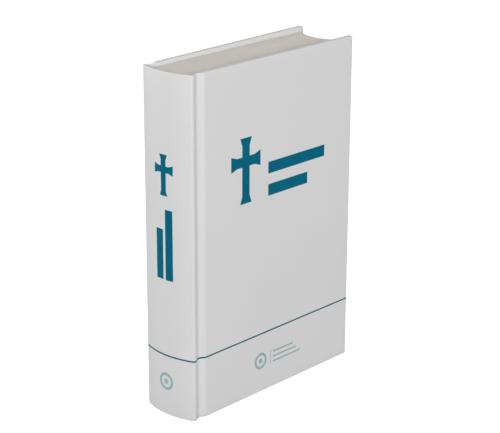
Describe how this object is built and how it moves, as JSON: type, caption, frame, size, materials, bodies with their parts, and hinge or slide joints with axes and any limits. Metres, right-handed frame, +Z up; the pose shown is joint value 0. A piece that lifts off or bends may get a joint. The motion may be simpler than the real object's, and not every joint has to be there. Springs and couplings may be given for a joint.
{
  "type": "bible",
  "caption": "Closed hardcover bible standing upright: rounded spine, grooved joints, white paper covers with a plain teal cross, bars and rule; covers, endleaves and leaves turn.",
  "frame": {"origin": "centre of the bounding box at the tail edges of the boards, on which the book stands", "axes": "+Z up from tail to head, -X towards the spine, +X towards the fore-edge, -Y towards the front cover"},
  "size_m": [0.1381, 0.0418, 0.205],
  "materials": {
    "cover_paper": "pale grey-white printed covering paper with a soft satin film",
    "board": "dense grey bookbinder's board",
    "kraft": "brown kraft lining paper",
    "gauze": "open stiffened cotton gauze",
    "glue": "dried white glue film",
    "thread": "plain sewing thread",
    "band": "white woven headband",
    "endpaper": "smooth white endpaper",
    "pages": "thin warm white text paper, edges cut smooth",
    "ink_teal": "teal printing ink, flat",
    "ink_grey": "grey-teal printing ink, flat"
  },
  "bodies": {
    "spine": {"spine_cover": "cover_paper", "spine_card": "board", "spine_lining": "kraft", "mull": "gauze", "spine_glue": "glue", "section_folds": "pages", "sewing_thread": "thread", "headband": "band", "tailband": "band", "front_joint": "cover_paper", "back_joint": "cover_paper", "front_inner_hinge": "endpaper", "back_inner_hinge": "endpaper", "spine_cross": "ink_teal", "spine_title_bars": "ink_teal", "spine_rule": "ink_teal", "spine_imprint": "ink_grey"},
    "front_inner": {"front_inner_leaves": "pages"},
    "front_outer": {"front_outer_leaves": "pages"},
    "front_fly": {"front_flyleaf": "endpaper"},
    "front_middle": {"front_middle_leaf": "pages"},
    "back_inner": {"back_inner_leaves": "pages"},
    "back_outer": {"back_outer_leaves": "pages"},
    "back_fly": {"back_flyleaf": "endpaper"},
    "back_middle": {"back_middle_leaf": "pages"},
    "front_cover": {"front_board": "board", "front_cover_paper": "cover_paper", "front_pastedown": "endpaper", "front_mull_flange": "gauze", "front_cross": "ink_teal", "front_title_bars": "ink_teal", "front_rule": "ink_teal", "front_imprint": "ink_grey"},
    "back_cover": {"back_board": "board", "back_cover_paper": "cover_paper", "back_pastedown": "endpaper", "back_mull_flange": "gauze", "back_rule": "ink_teal"}
  },
  "joints": [
    {"name": "front_inner_turn", "type": "hinge", "parent": "spine", "child": "front_inner", "pos_m": [-0.06, -0.0192, 0], "axis": [0, 0, 1], "range_deg": [-80, 0]},
    {"name": "front_outer_turn", "type": "hinge", "parent": "front_inner", "child": "front_outer", "pos_m": [-0.06, -0.0192, 0], "axis": [0, 0, 1], "range_deg": [-100, 0]},
    {"name": "front_cover_open", "type": "hinge", "parent": "front_outer", "child": "front_cover", "pos_m": [-0.06, -0.0192, 0], "axis": [0, 0, -1], "range_deg": [0, 177], "deforming": ["front_joint", "front_inner_hinge"]},
    {"name": "front_flyleaf_turn", "type": "hinge", "parent": "front_outer", "child": "front_fly", "pos_m": [-0.06, -0.0192, 0], "axis": [0, 0, -1], "range_deg": [0, 159.4]},
    {"name": "front_middle_turn", "type": "hinge", "parent": "spine", "child": "front_middle", "pos_m": [-0.06, -0.0192, 0], "axis": [0, 0, 1], "range_deg": [-48.1, 0]},
    {"name": "back_inner_turn", "type": "hinge", "parent": "spine", "child": "back_inner", "pos_m": [-0.06, 0.0192, 0], "axis": [0, 0, -1], "range_deg": [-80, 0]},
    {"name": "back_outer_turn", "type": "hinge", "parent": "back_inner", "child": "back_outer", "pos_m": [-0.06, 0.0192, 0], "axis": [0, 0, -1], "range_deg": [-100, 0]},
    {"name": "back_cover_open", "type": "hinge", "parent": "back_outer", "child": "back_cover", "pos_m": [-0.06, 0.0192, 0], "axis": [0, 0, 1], "range_deg": [0, 177], "deforming": ["back_joint", "back_inner_hinge"]},
    {"name": "back_flyleaf_turn", "type": "hinge", "parent": "back_outer", "child": "back_fly", "pos_m": [-0.06, 0.0192, 0], "axis": [0, 0, 1], "range_deg": [0, 159.4]},
    {"name": "back_middle_turn", "type": "hinge", "parent": "spine", "child": "back_middle", "pos_m": [-0.06, 0.0192, 0], "axis": [0, 0, -1], "range_deg": [-24.1, 0]}
  ],
  "couplings": [
    {"joint": "front_flyleaf_turn", "follows": "front_cover_open", "ratio": 0.9},
    {"joint": "front_middle_turn", "follows": "front_inner_turn", "ratio": 0.6},
    {"joint": "back_flyleaf_turn", "follows": "back_cover_open", "ratio": 0.9},
    {"joint": "back_middle_turn", "follows": "back_inner_turn", "ratio": 0.3}
  ]
}
